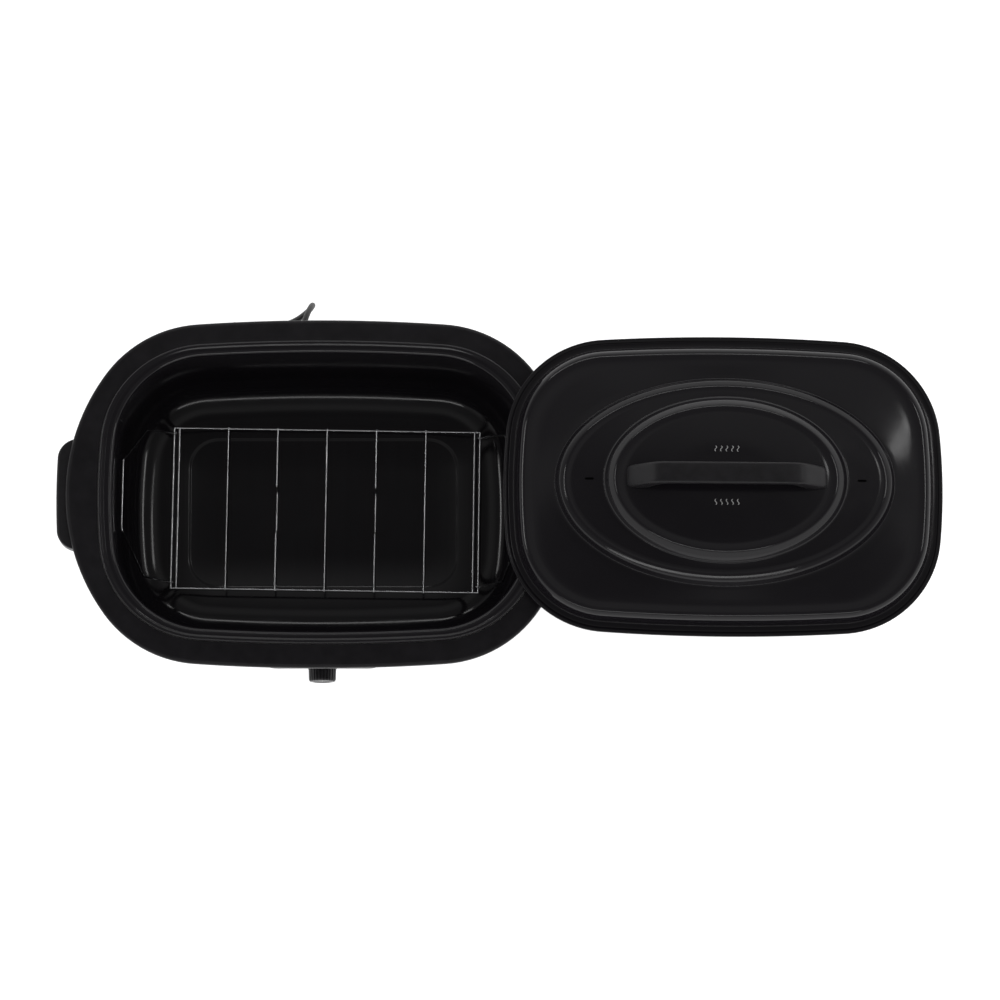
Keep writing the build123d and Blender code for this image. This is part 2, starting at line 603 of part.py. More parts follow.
def make_cord(points, name):
    radii = corner_radii(points)
    cord = bent_rod(points, radii, CORD / 2)
    length = FilletPolyline(*points, radius=radii).length
    print(name, "length", round(length, 1), "radii", [round(r, 1) for r in radii])
    solid_tube = math.pi * CORD**2 / 4 * length
    print(name, "volume over section times length", round(cord.volume / solid_tube, 4))
    return cord


def make_hank():
    """The outer shape of the folded cord: a long ring two turns deep."""
    ring = SlotOverall(HANK_LENGTH, HANK_WIDTH)
    ring -= SlotOverall(HANK_LENGTH - 2 * CORD, HANK_WIDTH - 2 * CORD)
    return extrude(Pos(*HANK_CENTRE, HANK_BOTTOM) * ring, HANK_TOP - HANK_BOTTOM)


def make_cord_tie():
    """A flat strap round the middle of the hank."""
    x, y = HANK_CENTRE
    half = HANK_WIDTH / 2
    outer = block((x - TIE_WIDTH / 2, y - half - TIE_THICK, HANK_BOTTOM - TIE_THICK),
                  (x + TIE_WIDTH / 2, y + half + TIE_THICK, HANK_TOP + TIE_THICK))
    inner = block((x - TIE_WIDTH / 2, y - half, HANK_BOTTOM),
                  (x + TIE_WIDTH / 2, y + half, HANK_TOP))
    return outer - inner


def make_plug_body():
    wide, tall = PLUG_BODY
    start = Plane(origin=(PLUG_START_X, PLUG_Y, PLUG_Z), x_dir=(0, 1, 0), z_dir=(1, 0, 0))
    neck = loft([start * Circle(PLUG_NECK), start.offset(14.0) * Circle(PLUG_NECK + 1.0)])
    head = extrude(start.offset(12.0) * RectangleRounded(wide, tall, 5.0), PLUG_LENGTH - 12.0)
    head = fillet(head.faces().sort_by(Axis.X)[0].edges(), 3.0)
    return neck + head


def make_plug_blades():
    long, thick, wide = BLADE
    tip = PLUG_START_X + PLUG_LENGTH
    blades = []
    for sign in (1, -1):
        y = PLUG_Y + sign * BLADE_SPACING / 2
        blade = block((tip, y - thick / 2, PLUG_Z - wide / 2),
                      (tip + long, y + thick / 2, PLUG_Z + wide / 2))
        hole_x = tip + long - BLADE_HOLE[0]
        blade -= rod((hole_x, y - thick, PLUG_Z), (hole_x, y + thick, PLUG_Z), BLADE_HOLE[1])
        blades.append(blade.solid())
    return Compound(blades)


def pan_levels(wall):
    """Levels of the pan's inside (wall 0) or outside: floor fillet, wall and mouth."""
    radius = PAN_FLOOR_RADIUS + wall
    levels = []
    bottom, top = PAN_WALL_BOTTOM, PAN_WALL_TOP
    for i in range(PAN_FILLET_STEPS + 1):
        turn = math.pi / 2 * i / PAN_FILLET_STEPS
        z = PAN_FLOOR - wall + radius * (1 - math.cos(turn))
        inset = radius * (1 - math.sin(turn)) - wall
        levels.append((z, bottom[1] + inset, bottom[2] + inset))
    levels.append((top[0], top[1] - wall, top[2] - wall))
    return levels


def make_roasting_pan():
    mouth = [(PAN_FLANGE_TOP, PAN_WALL_TOP[1] - SHEET, PAN_WALL_TOP[2] - SHEET)]
    pan = stack(pan_levels(SHEET) + mouth, form=PAN_FORM)
    panel = extrude(Pos(0, 0, PAN_FLOOR - PAN_PANEL_DEEP - SHEET)
                    * RectangleRounded(*(2 * (h + SHEET) for h in PAN_PANEL_HALF), PAN_PANEL_CORNER),
                    PAN_PANEL_DEEP + SHEET)
    flange = prism(PAN_BEAD_INNER, PAN_FLANGE_TOP - SHEET, PAN_FLANGE_TOP, PAN_FORM)
    bead = stack(PAN_BEAD_LEVELS, form=PAN_FORM)
    bead -= prism(PAN_BEAD_INNER, PAN_BEAD_LEVELS[0][0], PAN_BEAD_LEVELS[-1][0], PAN_FORM)
    pan = pan + panel + flange + bead
    pan -= stack(pan_levels(0.0) + PAN_MOUTH, form=PAN_FORM)
    hollow = Pos(0, 0, PAN_FLOOR - PAN_PANEL_DEEP) * RectangleRounded(
        *(2 * h for h in PAN_PANEL_HALF), PAN_PANEL_CORNER - SHEET)
    return pan - extrude(hollow, PAN_PANEL_DEEP + 1)


def in_pan(shape):
    """Turn and shift a piece of the rack to where the rack lies."""
    return Pos(RACK_SHIFT_X, 0, 0) * Rot(0, 0, RACK_TURN) * shape


def make_rack_frame():
    """Two long wires and two wires at each end, welded where they cross."""
    frame = []
    for sign in (1, -1):
        y, low = sign * RACK_HALF_Y, RACK_Z
        frame.append(rod((-RACK_HALF_X, y, low), (RACK_HALF_X, y, low), RACK_WIRE))
        for x in (RACK_HALF_X, RACK_INNER_END):
            frame.append(rod((sign * x, -RACK_HALF_Y, low), (sign * x, RACK_HALF_Y, low), RACK_WIRE))
    for x in (RACK_HALF_X, -RACK_HALF_X):
        for y in (RACK_HALF_Y, -RACK_HALF_Y):
            frame.append(Pos(x, y, RACK_Z) * Sphere(RACK_WIRE))
    whole = frame[0]
    for wire in frame[1:]:
        whole += wire
    return in_pan(whole)


def make_rack_cross_wires():
    """Wires across the rack, laid on the frame. Two dip to the pan's floor as feet."""
    wires = []
    z = RACK_Z + RACK_CROSS_WIRE - 0.3
    reach = RACK_HALF_Y + RACK_WIRE
    for i in RACK_CROSS:
        x = i * RACK_PITCH
        if i in RACK_FOOT_CROSS:
            foot = RACK_FOOT_HALF
            low = RACK_FOOT_Z
            points = [(x, -reach, z), (x, -foot, z), (x, -foot, low), (x, foot, low), (x, foot, z),
                      (x, reach, z)]
            wires.append(bent_rod(points, [3.0] * 4, RACK_CROSS_WIRE).solid())
        else:
            wires.append(rod((x, -reach, z), (x, reach, z), RACK_CROSS_WIRE).solid())
    return in_pan(Compound(wires))


def make_bail(side):
    """One bail: eyes round the rack's end wire, and a wire up to its knees and over the grip."""
    sign = 1 if side == "right" else -1
    lean = math.radians(BAIL_LEAN[side])
    eye = RACK_WIRE + BAIL_EYE_GAP + BAIL_WIRE

    def at(distance, extra, y):
        turn = lean + math.radians(extra)
        return (sign * (RACK_HALF_X + distance * math.sin(turn)), y,
                RACK_Z + distance * math.cos(turn))

    knee, knee_y, knee_lean = BAIL_KNEE
    grip, grip_y = BAIL_GRIP
    half = [at(eye, knee_lean, BAIL_EYE_Y), at(knee, knee_lean, knee_y), at(grip, 0, grip_y)]
    points = half + [(x, -y, z) for x, y, z in reversed(half)]
    bail = bent_rod(points, [BAIL_BEND] * 4, BAIL_WIRE)
    for y in (BAIL_EYE_Y, -BAIL_EYE_Y):
        ring = Torus(eye, BAIL_WIRE)
        bail += Pos(sign * RACK_HALF_X, y, RACK_Z) * Rot(90, 0, 0) * ring
    return in_pan(bail)


def set_aside(shape):
    """Move a piece of the lid from the lid's own centre to where the lid lies."""
    return Pos(LID_X, LID_Y, LID_Z) * Rot(0, 0, LID_TURN) * shape


def ovals(wall=0.0):
    """The two pressed ovals as one stepped solid, shrunk and lowered by a wall."""
    rings = [Pos(0, 0, z - wall) * Ellipse(x - wall, y - wall) for z, x, y in LID_OVALS]
    return loft(rings, ruled=True)


def grip_screw_hole(sign):
    x = sign * GRIP_SCREW_X
    return rod((x, 0, 0), (x, 0, GRIP_SCREW_TIP), SCREW_RADIUS)


def make_lid_form():
    return stack(LID_DOME_LEVELS, form=LID_FORM) + ovals()


def make_lid_shell():
    bottom = LID_BAND[0]
    lid = make_lid_form()
    lid += prism(LID_EDGE_INNER, *LID_BAND, LID_FORM)
    edge_top = LID_EDGE_LEVELS[-1][0]
    lid += stack(LID_EDGE_LEVELS, form=LID_FORM) - prism(LID_EDGE_INNER, 0, edge_top, LID_FORM)
    lid -= stack(LID_DOME_LEVELS, grow=-LID_SHEET, drop=LID_SHEET, form=LID_FORM) + ovals(LID_SHEET)
    mouth = tuple(inset + LID_SHEET for inset in LID_DOME_LEVELS[0][1:])
    lid -= prism(mouth, 0, bottom + 0.1, LID_FORM)
    for sign in (1, -1):
        slot = Pos(sign * SLOT_X, 0, SLOT_BAND[0]) * SlotOverall(*SLOT_SIZE)
        lid -= extrude(slot, SLOT_BAND[1] - SLOT_BAND[0])
        lid -= grip_screw_hole(sign)
    return set_aside(lid)


def make_lid_handle():
    points = GRIP_OUTER + GRIP_INNER
    side = make_face(Plane.XZ * Polyline(*points, close=True))
    grip = extrude(side, GRIP_HALF_WIDTH, both=True)
    grip -= make_lid_form()
    for sign in (1, -1):
        grip -= grip_screw_hole(sign)
    return set_aside(grip)


def lid_screw_seat():
    """Height of the underside of the lid where a handle screw goes through."""
    low, high = LID_OVALS[-2], LID_OVALS[-1]
    share = (low[1] - GRIP_SCREW_X) / (low[1] - high[1])
    return low[0] + share * (high[0] - low[0]) - LID_SHEET


def make_lid_washers():
    washers = []
    seat = lid_screw_seat() - 0.4
    for sign in (1, -1):
        x = sign * GRIP_SCREW_X
        washer = rod((x, 0, seat - 1.2), (x, 0, seat), 6.0)
        washers.append((washer - rod((x, 0, seat - 1.2), (x, 0, seat), SCREW_RADIUS)).solid())
    return set_aside(Compound(washers))


def make_lid_handle_screws():
    seat = lid_screw_seat() - 1.6
    screws = [screw((sign * GRIP_SCREW_X, 0, seat), (0, 0, 1), GRIP_SCREW_TIP - seat)
              for sign in (1, -1)]
    return set_aside(Compound([s.solid() for s in screws]))


PARTS = {
    "outer_shell": make_outer_shell,
    "top_rim": make_top_rim,
    "heating_well": make_heating_well,
    "band_heater": make_band_heater,
    "heater_clips": make_heater_clips,
    "insulation_blanket": make_insulation,
    "base_plate": make_base_plate,
    "base_screws": make_base_screws,
    "spacer_posts": make_spacer_posts,
    "feet": make_feet,
    "foot_screws": make_foot_screws,
    "side_handle_left": lambda: make_side_handle(-1),
    "side_handle_right": lambda: make_side_handle(1),
    "side_handle_screws": make_side_handle_screws,
    "control_panel": make_control_panel,
    "panel_screws": make_panel_screws,
    "indicator_lens": make_indicator_lens,
    "indicator_lamp": make_indicator_lamp,
    "thermostat_body": make_thermostat_body,
    "thermostat_bracket": make_thermostat_bracket,
    "thermostat_shaft": make_thermostat_shaft,
    "control_knob": make_control_knob,
    "terminal_block": make_terminal_block,
    "supply_wires": make_supply_wires,
    "heater_leads": make_heater_leads,
    "strain_relief": make_strain_relief,
    "power_cord": lambda: make_cord(CORD_ROUTE, "power_cord"),
    "cord_hank": make_hank,
    "cord_tie": make_cord_tie,
    "cord_tail": lambda: make_cord(TAIL_ROUTE, "cord_tail"),
    "plug_body": make_plug_body,
    "plug_blades": make_plug_blades,
    "roasting_pan": make_roasting_pan,
    "rack_frame": make_rack_frame,
    "rack_cross_wires": make_rack_cross_wires,
    "rack_handle_left": lambda: make_bail("left"),
    "rack_handle_right": lambda: make_bail("right"),
    "lid_shell": make_lid_shell,
    "lid_handle": make_lid_handle,
    "lid_washers": make_lid_washers,
    "lid_handle_screws": make_lid_handle_screws,
}

os.makedirs("parts", exist_ok=True)
for name, make in PARTS.items():
    export_step(Pos(SHIFT_X, 0, 0) * make(), f"parts/{name}.step")
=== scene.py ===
import json
import math

import bmesh
import bpy
from mathutils import Matrix, Vector


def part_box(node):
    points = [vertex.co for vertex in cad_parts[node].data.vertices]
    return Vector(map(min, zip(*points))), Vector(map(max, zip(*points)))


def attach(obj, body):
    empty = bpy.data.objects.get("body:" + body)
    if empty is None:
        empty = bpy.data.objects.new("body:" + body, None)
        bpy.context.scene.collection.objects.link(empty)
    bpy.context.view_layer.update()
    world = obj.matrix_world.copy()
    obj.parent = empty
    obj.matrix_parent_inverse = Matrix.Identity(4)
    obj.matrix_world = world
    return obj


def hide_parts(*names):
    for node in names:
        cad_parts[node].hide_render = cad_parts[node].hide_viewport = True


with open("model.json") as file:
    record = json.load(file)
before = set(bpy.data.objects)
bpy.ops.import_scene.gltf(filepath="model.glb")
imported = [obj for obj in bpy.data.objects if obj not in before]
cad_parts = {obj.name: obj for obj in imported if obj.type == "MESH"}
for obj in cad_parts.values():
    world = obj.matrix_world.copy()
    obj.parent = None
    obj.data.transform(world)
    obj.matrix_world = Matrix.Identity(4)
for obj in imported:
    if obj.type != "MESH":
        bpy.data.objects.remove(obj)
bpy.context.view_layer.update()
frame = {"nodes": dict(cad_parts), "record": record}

# Looks of the electric roaster oven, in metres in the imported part's frame. Pieces are placed from the
# boxes of their CAD nodes, except the cord's lead and tail, which follow the CAD route's own points.
# Profiles are written in millimetres, as (height, inset in X, inset in Y, rounding), inward from the
# rim's or the lid's outline.
MM = 0.001

rim_low, rim_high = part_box("top_rim")
pan_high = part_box("roasting_pan")[1]
lid_low, lid_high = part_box("lid_shell")
knob_low, knob_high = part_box("control_knob")
BODY = Vector(((rim_low.x + rim_high.x) / 2, (rim_low.y + rim_high.y) / 2, 0.0))
LID = Vector(((lid_low.x + lid_high.x) / 2, (lid_low.y + lid_high.y) / 2, lid_low.z))
LID_TURN = math.radians(-0.5)

# Outlines: half sizes, then the radii of the corner, end and side arcs. The body's and the pan's
# are both written inward from the rim, and the pan's and the lid's are squarer than the body's.
RIM_HALF = ((rim_high.x - rim_low.x) / 2 / MM, (rim_high.y - rim_low.y) / 2 / MM)
RIM_FORM = (*RIM_HALF, 143.0, 242.0, 2150.0)
PAN_FORM = (*RIM_HALF, 156.0, 727.0, 2270.0)
LID_FORM = (255.5, 176.5, 120.0, 690.0, 2240.0)
QUARTER = 44                      # points along a quarter of an outline


# ---------------------------------------------------------------- outlines and skins

def outline(inset_x, inset_y, form=RIM_FORM):
    """Points round an outline brought inward: bowed sides and ends with corner arcs."""
    half_x, half_y = form[0] - inset_x, form[1] - inset_y
    shrink = (inset_x + inset_y) / 2
    corner, end, side = form[2] - shrink, form[3] - shrink, form[4]
    side_centre, end_centre = Vector((0, half_y - side)), Vector((half_x - end, 0))
    line = end_centre - side_centre
    reach, other = side - corner, end - corner
    along = (reach**2 - other**2 + line.length_squared) / (2 * line.length)
    across = math.sqrt(reach**2 - along**2)
    unit = line.normalized()
    corner_centre = side_centre + unit * along + Vector((unit.y, -unit.x)) * across
    up = corner_centre - side_centre
    out = corner_centre - end_centre
    turn_end, turn_side = math.atan2(out.y, out.x), math.atan2(up.y, up.x)
    arcs = [(end_centre, end, 0.0, turn_end), (corner_centre, corner, turn_end, turn_side),
            (side_centre, side, turn_side, math.pi / 2)]
    return walk(arcs)


def rounded_box(half_x, half_y, corner):
    """Points round a rectangle with round corners, as many as an outline has."""
    quarter = []
    straight_y, straight_x = half_y - corner, half_x - corner
    total = straight_y + straight_x + corner * math.pi / 2
    for i in range(QUARTER):
        far = total * i / QUARTER
        if far < straight_y:
            quarter.append((half_x, far))
        elif far < straight_y + corner * math.pi / 2:
            turn = (far - straight_y) / corner
            quarter.append((straight_x + corner * math.cos(turn), straight_y + corner * math.sin(turn)))
        else:
            quarter.append((total - far, half_y))
    return four_quarters(quarter, (0.0, half_y))


def walk(arcs):
    """Evenly spaced points along a quarter made of tangent arcs, then in all four quarters."""
    lengths = [radius * (finish - start) for _, radius, start, finish in arcs]
    quarter = []
    for i in range(QUARTER):
        far = sum(lengths) * i / QUARTER
        for (centre, radius, start, _), length in zip(arcs, lengths):
            if far <= length:
                turn = start + far / radius
                quarter.append((centre.x + radius * math.cos(turn), centre.y + radius * math.sin(turn)))
                break
            far -= length
    last_centre, last_radius = arcs[-1][:2]
    return four_quarters(quarter, (0.0, last_centre.y + last_radius))


def four_quarters(quarter, top):
    """A whole loop, anticlockwise from +X, from its first quarter and its topmost point."""
    first = quarter + [top]
    second = [(-x, y) for x, y in reversed(quarter)]
    third = [(-x, -y) for x, y in quarter[1:]] + [(0.0, -top[1])]
    fourth = [(x, -y) for x, y in reversed(quarter[1:])]
    return first + second + third + fourth


def oval(half_x, half_y, like):
    """An ellipse whose points lie in the same directions as those of another loop."""
    wide = max(x for x, _ in like)
    deep = max(y for _, y in like)
    turns = [math.atan2(y / deep, x / wide) for x, y in like]
    return [(half_x * math.cos(t), half_y * math.sin(t)) for t in turns]


def soften(levels, steps=5):
    """A profile with its corners rounded by as much as each level says."""
    points = [Vector(level[:3]) for level in levels]
    smooth = [points[0]]
    for i in range(1, len(points) - 1):
        before, corner, after = points[i - 1], points[i], points[i + 1]
        size = levels[i][3]
        if size == 0:
            smooth.append(corner)
            continue
        start = corner + (before - corner).normalized() * min(size, (before - corner).length * 0.49)
        finish = corner + (after - corner).normalized() * min(size, (after - corner).length * 0.49)
        for k in range(steps + 1):
            t = k / steps
            smooth.append(start.lerp(corner, t).lerp(corner.lerp(finish, t), t))
    smooth.append(points[-1])
    return smooth


def outline_rings(levels, form=RIM_FORM, steps=5):
    return [(level[0], outline(level[1], level[2], form)) for level in soften(levels, steps)]


def between(first, last, steps):
    """Rings that lead evenly from one ring to another, without either of them."""
    rings = []
    for i in range(1, steps):
        t = i / steps
        points = [(a[0] + (b[0] - a[0]) * t, a[1] + (b[1] - a[1]) * t) for a, b in zip(first[1], last[1])]
        rings.append((first[0] + (last[0] - first[0]) * t, points))
    return rings


def oval_rings(levels, like, steps=5):
    return [(level[0], oval(level[1], level[2], like)) for level in soften(levels, steps)]


def new_object(name, bm, smooth_angle=40.0):
    """A mesh object from a bmesh, smooth except over edges sharper than an angle."""
    bmesh.ops.remove_doubles(bm, verts=bm.verts, dist=1e-6)
    bmesh.ops.recalc_face_normals(bm, faces=bm.faces)
    mesh = bpy.data.meshes.new(name)
    bm.to_mesh(mesh)
    bm.free()
    mesh.shade_smooth()
    mesh.set_sharp_from_angle(angle=math.radians(smooth_angle))
    made = bpy.data.objects.new(name, mesh)
    bpy.context.scene.collection.objects.link(made)
    return made


def skin(name, rings, place, loop=False, cap=False, thick=0.0, sharp=40.0):
    """A lofted surface through (height, points) rings in mm, put at a place, in metres."""
    bm = bmesh.new()
    rows = [[bm.verts.new(place @ Vector((x * MM, y * MM, z * MM))) for x, y in points]
            for z, points in rings]
    pairs = list(zip(rows, rows[1:])) + ([(rows[-1], rows[0])] if loop else [])
    for low, high in pairs:
        for i in range(len(low)):
            j = (i + 1) % len(low)
            bm.faces.new((low[i], low[j], high[j], high[i]))
    if cap:
        bm.faces.new(rows[-1])
    made = new_object(name, bm, sharp)
    if thick:
        solid = made.modifiers.new("sheet", "SOLIDIFY")
        solid.thickness = abs(thick) * MM
        solid.offset = -1.0 if thick > 0 else 1.0
        solid.use_quality_normals = True
    return made


def grid_loft(name, loops, place=None, caps=True, sharp=40.0, subdivide=0):
    """A closed surface through loops of points in metres, with its ends capped."""
    bm = bmesh.new()
    move = place or Matrix.Identity(4)
    rows = [[bm.verts.new(move @ Vector(p)) for p in loop] for loop in loops]
    for low, high in zip(rows, rows[1:]):
        for i in range(len(low)):
            j = (i + 1) % len(low)
            bm.faces.new((low[i], low[j], high[j], high[i]))
    if caps:
        bm.faces.new(list(reversed(rows[0])))
        bm.faces.new(rows[-1])
    made = new_object(name, bm, sharp)
    if subdivide:
        rounder = made.modifiers.new("round", "SUBSURF")
        rounder.levels = subdivide
        rounder.render_levels = subdivide
    return made


# ---------------------------------------------------------------- materials

def socket(shader, name, value):
    shader.inputs[name].default_value = value


class Finish:
    """A Principled material with procedural detail added step by step."""

    def __init__(self, name, colour, roughness, metallic=0.0, **more):
        self.material = bpy.data.materials.new(name)
        self.material.use_nodes = True
        self.tree = self.material.node_tree
        self.shader = self.tree.nodes["Principled BSDF"]
        socket(self.shader, "Base Color", (*colour, 1.0))
        socket(self.shader, "Roughness", roughness)
        socket(self.shader, "Metallic", metallic)
        for key, value in more.items():
            socket(self.shader, key.replace("_", " "), value)
        self.place = self.tree.nodes.new("ShaderNodeTexCoord").outputs["Object"]
        self.last_bump = None

    def node(self, kind, **values):
        made = self.tree.nodes.new(kind)
        for key, value in values.items():
            made.inputs[key].default_value = value
        return made

    def noise(self, scale, detail=4.0, stretch=None, roughness=0.5):
        source = self.place
        if stretch:
            mapping = self.node("ShaderNodeMapping", Scale=stretch)
            self.tree.links.new(source, mapping.inputs["Vector"])
            source = mapping.outputs["Vector"]
        made = self.node("ShaderNodeTexNoise", Scale=scale, Detail=detail, Roughness=roughness)
        self.tree.links.new(source, made.inputs["Vector"])
        return made.outputs["Fac"]

    def cells(self, scale, output="Distance"):
        made = self.node("ShaderNodeTexVoronoi", Scale=scale)
        self.tree.links.new(self.place, made.inputs["Vector"])
        return made.outputs[output]

    def waves(self, scale, direction="X", distortion=0.0):
        made = self.node("ShaderNodeTexWave", Scale=scale, Distortion=distortion)
        made.bands_direction = direction
        self.tree.links.new(self.place, made.inputs["Vector"])
        return made.outputs["Fac"]

    def colours(self, source, first, second, low=0.3, high=0.7):
        ramp = self.tree.nodes.new("ShaderNodeValToRGB")
        ramp.color_ramp.elements[0].position = low
        ramp.color_ramp.elements[1].position = high
        ramp.color_ramp.elements[0].color = (*first, 1.0)
        ramp.color_ramp.elements[1].color = (*second, 1.0)
        self.tree.links.new(source, ramp.inputs["Fac"])
        self.tree.links.new(ramp.outputs["Color"], self.shader.inputs["Base Color"])
        return self

    def roughness(self, source, smooth, rough, low=0.3, high=0.7):
        span = self.node("ShaderNodeMapRange")
        for key, value in (("From Min", low), ("From Max", high), ("To Min", smooth), ("To Max", rough)):
            span.inputs[key].default_value = value
        self.tree.links.new(source, span.inputs["Value"])
        self.tree.links.new(span.outputs["Result"], self.shader.inputs["Roughness"])
        return self

    def bump(self, source, depth, strength=1.0):
        made = self.node("ShaderNodeBump", Strength=strength, Distance=depth)
        self.tree.links.new(source, made.inputs["Height"])
        if self.last_bump:
            self.tree.links.new(self.last_bump.outputs["Normal"], made.inputs["Normal"])
        self.tree.links.new(made.outputs["Normal"], self.shader.inputs["Normal"])
        self.last_bump = made
        return self


def enamel():
    f = Finish("enamel_gloss", (0.0075, 0.0066, 0.0081), 0.08, Specular_IOR_Level=0.22)
    f.colours(f.noise(2600.0, 2.0), (0.0068, 0.006, 0.0074), (0.0096, 0.0085, 0.0103), 0.45, 0.8)
    f.roughness(f.noise(26.0, 5.0), 0.07, 0.15)
    return f.bump(f.noise(150.0, 2.0), 0.00002, 0.5)


def body_paint():
    f = Finish("body_satin", (0.006, 0.0054, 0.0064), 0.34, Specular_IOR_Level=0.1)
    f.colours(f.noise(60.0, 5.0), (0.0055, 0.005, 0.006), (0.0092, 0.0083, 0.0098))
    f.roughness(f.noise(34.0, 6.0), 0.3, 0.4)
    return f.bump(f.noise(1500.0, 3.0), 0.00004, 0.35)


def moulded(name, colour, smooth, rough, grain, specular=0.5):
    f = Finish(name, colour, smooth, Specular_IOR_Level=specular)
    f.colours(f.noise(90.0, 5.0), colour, tuple(c * 1.6 for c in colour))
    f.roughness(f.noise(45.0, 6.0), smooth, rough)
    return f.bump(f.noise(grain, 4.0), 0.00005, 0.4)


def sheet_metal(name, colour, second, smooth, rough, stretch, scale):
    f = Finish(name, colour, smooth, 1.0)
    f.colours(f.noise(scale, 5.0, stretch), colour, second)
    f.roughness(f.noise(scale * 0.6, 6.0, stretch), smooth, rough)
    return f.bump(f.noise(scale * 2.0, 3.0, stretch), 0.00002, 0.3)


def galvanised():
    f = Finish("galvanised_sheet", (0.52, 0.53, 0.55), 0.4, 1.0)
    f.colours(f.cells(95.0, "Color"), (0.38, 0.39, 0.41), (0.62, 0.63, 0.65), 0.1, 0.9)
    f.roughness(f.cells(95.0), 0.28, 0.5, 0.0, 0.6)
    return f.bump(f.noise(700.0, 3.0), 0.00002, 0.3)


def chrome():
    f = Finish("chrome_bright", (0.4, 0.4, 0.41), 0.12, 1.0)
    f.colours(f.noise(70.0, 4.0), (0.32, 0.32, 0.33), (0.46, 0.46, 0.47))
    f.roughness(f.noise(240.0, 4.0), 0.08, 0.2)
    return f.bump(f.noise(1800.0, 2.0), 0.00001, 0.3)


def blanket():
    f = Finish("glass_felt", (0.8, 0.74, 0.56), 0.95, Sheen_Weight=0.3)
    f.colours(f.noise(120.0, 8.0), (0.62, 0.56, 0.4), (0.88, 0.84, 0.7))
    f.bump(f.noise(60.0, 6.0), 0.002, 0.6)
    return f.bump(f.noise(500.0, 6.0, (1.0, 1.0, 0.2)), 0.0006, 0.7)


def woven():
    f = Finish("woven_strap", (0.02, 0.02, 0.021), 0.8, Sheen_Weight=0.3)
    f.colours(f.noise(400.0, 4.0), (0.012, 0.012, 0.013), (0.035, 0.035, 0.037))
    f.bump(f.waves(420.0, "X"), 0.0002, 0.6)
    return f.bump(f.waves(420.0, "DIAGONAL"), 0.0002, 0.6)


def red_lens():
    f = Finish("lens_clear_red", (0.5, 0.012, 0.008), 0.12, Transmission_Weight=0.5, IOR=1.49)
    f.colours(f.noise(300.0, 3.0), (0.4, 0.008, 0.006), (0.62, 0.02, 0.012))
    return f.bump(f.cells(900.0), 0.0002, 0.4)


def print_white():
    f = Finish("print_grey", (0.42, 0.42, 0.42), 0.5)
    f.colours(f.noise(1200.0, 3.0), (0.34, 0.34, 0.34), (0.5, 0.5, 0.5))
    return f.bump(f.noise(2500.0, 2.0), 0.00001, 0.3)


FINISHES = {
    "enamel": enamel(),
    "body_paint": body_paint(),
    "black_plastic": moulded("moulded_matt", (0.0066, 0.006, 0.007), 0.36, 0.48, 1100.0, 0.2),
    "knob_plastic": moulded("moulded_satin", (0.0095, 0.0088, 0.0102), 0.24, 0.34, 1600.0, 0.3),
    "foot_rubber": moulded("rubber_matt", (0.012, 0.012, 0.012), 0.7, 0.85, 700.0),
    "cord_black": moulded("vinyl_matt", (0.01, 0.01, 0.01), 0.42, 0.56, 900.0),
    "ceramic_block": moulded("ceramic_cream", (0.5, 0.46, 0.38), 0.45, 0.6, 500.0),
    "wire_cover": moulded("silicone_white", (0.5, 0.49, 0.45), 0.5, 0.65, 600.0),
    "lamp_glass": moulded("lamp_amber", (0.55, 0.2, 0.08), 0.08, 0.15, 900.0),
    "well_steel": sheet_metal("aluminised_dull", (0.5, 0.5, 0.48), (0.6, 0.6, 0.57), 0.36, 0.52,
                              (1.0, 1.0, 6.0), 40.0),
    "heater_strip": sheet_metal("strip_tinted", (0.26, 0.22, 0.18), (0.4, 0.36, 0.32), 0.4, 0.6,
                                (1.0, 1.0, 8.0), 50.0),
    "screw_steel": sheet_metal("zinc_plate", (0.5, 0.5, 0.5), (0.66, 0.66, 0.68), 0.25, 0.42,
                               (1.0, 1.0, 1.0), 300.0),
    "brass_blade": sheet_metal("brass_bright", (0.62, 0.5, 0.26), (0.76, 0.64, 0.38), 0.2, 0.34,
                               (0.2, 1.0, 1.0), 400.0),
    "galvanised": galvanised(),
    "chrome_wire": chrome(),
    "blanket": blanket(),
    "tie_black": woven(),
    "lens_red": red_lens(),
}
SLOT_OF = {row["node"]: row["material_slot"] for row in frame["record"]["subparts"]}
for node, holder in frame["nodes"].items():
    for material_slot in holder.material_slots:
        material_slot.material = FINISHES[SLOT_OF[node]].material


def dress(piece, body, slot, *nodes, material=None):
    """Give a piece its material and the body it rides on, and hide the CAD nodes that it stands for."""
    piece.data.materials.clear()
    piece.data.materials.append(material or FINISHES[slot].material)
    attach(piece, body)
    if nodes:
        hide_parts(*nodes)
    return piece


# ---------------------------------------------------------------- body

at_body = Matrix.Translation(BODY)

rim_outside = outline_rings([
    (198.0, 2.0, 2.0, 0.0), (196.6, 2.0, 2.0, 0.5), (196.05, 1.2, 1.2, 0.5), (197.2, 0.1, 0.1, 0.6),
    (203.6, 0.0, 0.0, 2.6), (206.6, 3.2, 3.2, 2.6), (207.6, 9.0, 7.3, 0.0),
])
rim_mouth = outline_rings([
    (212.1, 36.5, 25.7, 0.0), (212.4, 38.0, 26.6, 0.6), (211.9, 37.4, 25.9, 0.3),
    (209.4, 37.3, 25.8, 0.4), (209.4, 35.6, 24.1, 0.4), (210.2, 34.8, 23.4, 0.0),
], PAN_FORM)
rim_inside = outline_rings([(204.8, 5.4, 5.4, 0.0), (202.0, 2.2, 2.2, 1.0), (198.0, 2.0, 2.0, 0.0)])
rim_rings = rim_outside + between(rim_outside[-1], rim_mouth[0], 5) + rim_mouth + rim_inside[:-1]
rim = skin("rim_band", rim_rings, at_body, loop=True)
dress(rim, "housing", "body_paint", "top_rim")

